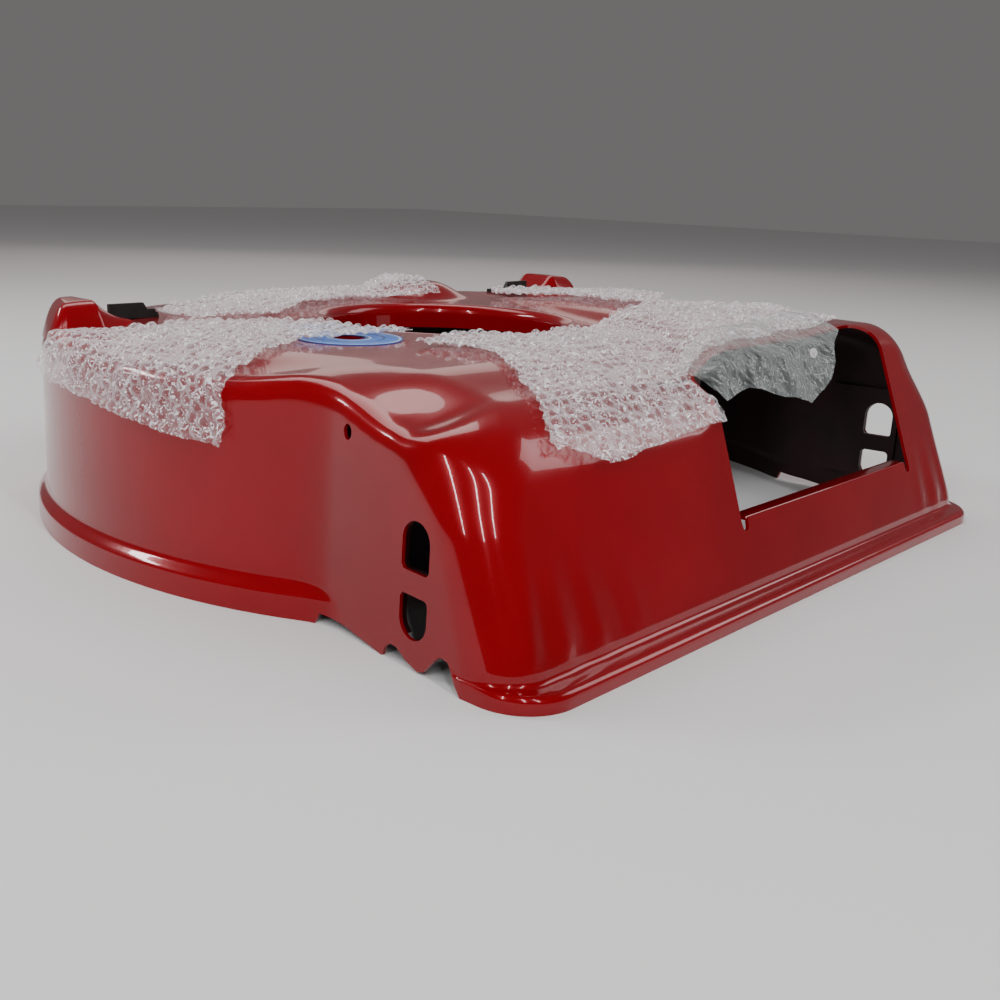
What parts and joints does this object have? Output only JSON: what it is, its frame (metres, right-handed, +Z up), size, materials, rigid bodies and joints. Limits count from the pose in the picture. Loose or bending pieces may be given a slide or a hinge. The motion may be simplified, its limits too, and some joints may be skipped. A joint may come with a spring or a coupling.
{
  "type": "lawn mower deck",
  "caption": "Glossy red pressed-steel cutting deck of a walk-behind lawn mower with a rear discharge opening, partly under bubble wrap.",
  "frame": {"origin": "centre of the engine bolt circle, on the top face where the engine sits", "axes": "+Z up along the engine shaft, +Y towards the front of the mower, +X to the mower's right"},
  "size_m": [0.568, 0.582, 0.1415],
  "materials": {
    "deck_paint": "high gloss",
    "black_steel": "satin",
    "zinc_steel": "satin",
    "blue_label": "gloss",
    "bubble_wrap": "gloss",
    "clear_film": "gloss"
  },
  "bodies": {
    "root": {"deck_shell": "deck_paint", "engine_ring": "deck_paint", "engine_weld_nuts": "zinc_steel", "discharge_baffle": "deck_paint", "rear_baffle": "deck_paint", "kicker_front": "deck_paint", "kicker_left": "deck_paint", "kicker_right": "deck_paint", "axle_plate_left": "deck_paint", "axle_plate_right": "deck_paint", "front_bracket_left": "black_steel", "front_bracket_right": "black_steel", "wash_port_label": "blue_label", "bubble_wrap_left": "bubble_wrap", "bubble_wrap_rear": "bubble_wrap", "bubble_wrap_front": "bubble_wrap", "bubble_wrap_tunnel": "bubble_wrap", "film_flap": "clear_film"}
  },
  "joints": []
}
